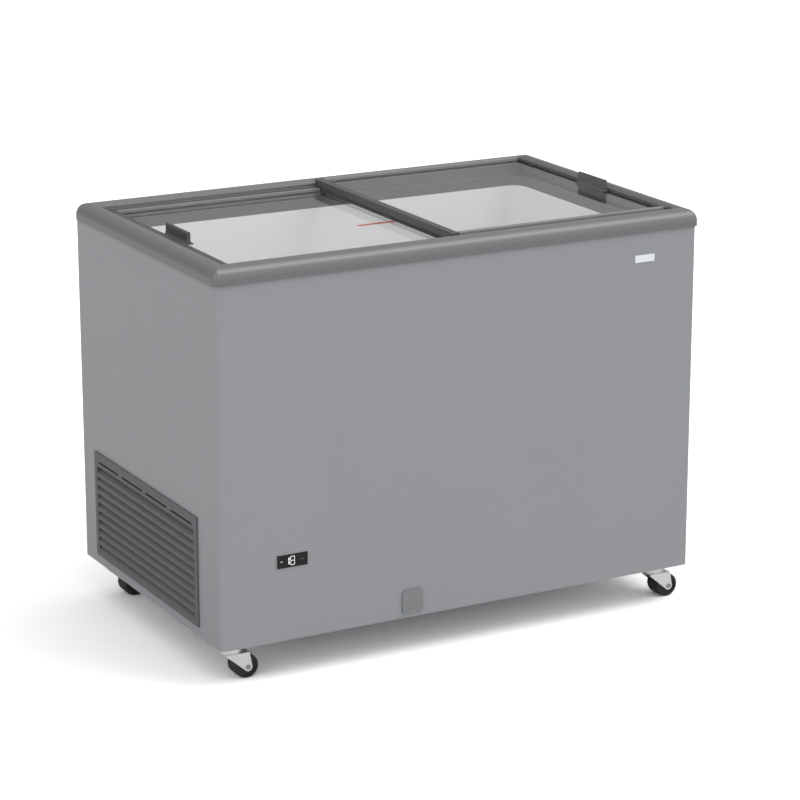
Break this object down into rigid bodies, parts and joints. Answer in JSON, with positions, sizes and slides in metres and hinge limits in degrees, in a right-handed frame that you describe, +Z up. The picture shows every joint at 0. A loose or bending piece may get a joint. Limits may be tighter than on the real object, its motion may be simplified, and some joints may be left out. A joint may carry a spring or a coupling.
{
  "type": "glass-top chest freezer",
  "caption": "Horizontal chest freezer with sliding glass lids, a rounded top frame, a louvred side grille and swivel castors.",
  "frame": {"origin": "on the floor under the middle of the cabinet", "axes": "+X to the right end seen from the front, +Y to the rear, +Z up; the front faces -Y"},
  "size_m": [1.018, 0.628, 0.8083],
  "materials": {
    "grey_sheet": "satin light grey paint",
    "plain_sheet": "plain galvanised sheet",
    "frame_plastic": "satin mid-grey moulding",
    "collar_plastic": "matt dark grey moulding",
    "liner_white": "smooth white sheet",
    "foam": "rigid insulating foam",
    "grille_plastic": "matt dark grey moulding",
    "black_enamel": "black enamel",
    "black_plastic": "matt black",
    "dark_plastic": "matt dark grey",
    "bar_plastic": "matt dark grey extrusion",
    "pale_plastic": "matt off-white",
    "cap_plastic": "matt grey",
    "rubber": "black rubber",
    "brush": "dark brush pile",
    "aluminium": "plain fins",
    "copper": "drawn copper",
    "zinc": "bright zinc plating",
    "glass": "clear toughened glass",
    "smoked_window": "smoked glossy window",
    "lit_white": "lit white segments",
    "circuit_board": "green lacquered board",
    "badge": "satin plate",
    "load_red": "red tape",
    "wheel_black": "black nylon"
  },
  "bodies": {
    "cabinet": {"outer_shell": "grey_sheet", "rear_panel": "plain_sheet", "base_pan": "plain_sheet", "foam": "foam", "liner": "liner_white", "collar": "collar_plastic", "top_frame": "frame_plastic", "bay_housing": "plain_sheet", "side_grille": "grille_plastic", "compressor": "black_enamel", "compressor_grommets": "rubber", "start_relay": "pale_plastic", "condenser": "aluminium", "fan_shroud": "plain_sheet", "fan_motor": "black_enamel", "discharge_tube": "copper", "suction_tube": "copper", "filter_drier": "copper", "capillary_tube": "copper", "evaporator_coil": "copper", "temperature_probe": "zinc", "drain_pipe": "pale_plastic", "display_housing": "dark_plastic", "display_window": "smoked_window", "display_digits": "lit_white", "controller_board": "circuit_board", "badge_plate": "badge", "load_line": "load_red", "cord_gland": "rubber", "castor_plates": "zinc", "castor_bolts": "zinc"},
    "fan": {"fan_blade": "black_plastic"},
    "plug": {"drain_plug": "rubber"},
    "cap": {"drain_cap": "cap_plastic"},
    "upper_lid": {"upper_glass": "glass", "upper_runners": "bar_plastic", "upper_inner_bar": "bar_plastic", "upper_outer_bar": "bar_plastic", "upper_handle": "dark_plastic", "upper_seal": "brush"},
    "lower_lid": {"lower_glass": "glass", "lower_runners": "bar_plastic", "lower_inner_bar": "bar_plastic", "lower_outer_bar": "bar_plastic", "lower_handle": "dark_plastic", "lower_seal": "brush"},
    "castor_front_left": {"fork_front_left": "zinc", "axle_front_left": "zinc"},
    "roller_front_left": {"wheel_front_left": "wheel_black"},
    "castor_front_right": {"fork_front_right": "zinc", "axle_front_right": "zinc"},
    "roller_front_right": {"wheel_front_right": "wheel_black"},
    "castor_rear_left": {"fork_rear_left": "zinc", "axle_rear_left": "zinc"},
    "roller_rear_left": {"wheel_rear_left": "wheel_black"},
    "castor_rear_right": {"fork_rear_right": "zinc", "axle_rear_right": "zinc"},
    "roller_rear_right": {"wheel_rear_right": "wheel_black"}
  },
  "joints": [
    {"name": "upper_lid_slide", "type": "slide", "parent": "cabinet", "child": "upper_lid", "axis": [-1, 0, 0], "range_m": [0, 0.4]},
    {"name": "lower_lid_slide", "type": "slide", "parent": "cabinet", "child": "lower_lid", "axis": [-1, 0, 0], "range_m": [-0.4, 0]},
    {"name": "fan_spin", "type": "hinge", "parent": "cabinet", "child": "fan", "pos_m": [-0.4357, -0.115, 0.1762], "axis": [1, 0, 0], "continuous": true},
    {"name": "drain_cap_pull", "type": "slide", "parent": "cabinet", "child": "cap", "axis": [0, -1, 0], "range_m": [0, 0.03]},
    {"name": "drain_plug_lift", "type": "slide", "parent": "cabinet", "child": "plug", "axis": [0, 0, 1], "range_m": [0, 0.03]},
    {"name": "swivel_front_left", "type": "hinge", "parent": "cabinet", "child": "castor_front_left", "pos_m": [-0.46, -0.253, 0.06], "axis": [0, 0, 1], "continuous": true},
    {"name": "roll_front_left", "type": "hinge", "parent": "castor_front_left", "child": "roller_front_left", "pos_m": [-0.435, -0.253, 0.023], "axis": [0, 1, 0], "continuous": true},
    {"name": "swivel_front_right", "type": "hinge", "parent": "cabinet", "child": "castor_front_right", "pos_m": [0.46, -0.253, 0.06], "axis": [0, 0, 1], "continuous": true},
    {"name": "roll_front_right", "type": "hinge", "parent": "castor_front_right", "child": "roller_front_right", "pos_m": [0.485, -0.253, 0.023], "axis": [0, 1, 0], "continuous": true},
    {"name": "swivel_rear_left", "type": "hinge", "parent": "cabinet", "child": "castor_rear_left", "pos_m": [-0.46, 0.253, 0.06], "axis": [0, 0, 1], "continuous": true},
    {"name": "roll_rear_left", "type": "hinge", "parent": "castor_rear_left", "child": "roller_rear_left", "pos_m": [-0.435, 0.253, 0.023], "axis": [0, 1, 0], "continuous": true},
    {"name": "swivel_rear_right", "type": "hinge", "parent": "cabinet", "child": "castor_rear_right", "pos_m": [0.46, 0.253, 0.06], "axis": [0, 0, 1], "continuous": true},
    {"name": "roll_rear_right", "type": "hinge", "parent": "castor_rear_right", "child": "roller_rear_right", "pos_m": [0.485, 0.253, 0.023], "axis": [0, 1, 0], "continuous": true}
  ]
}
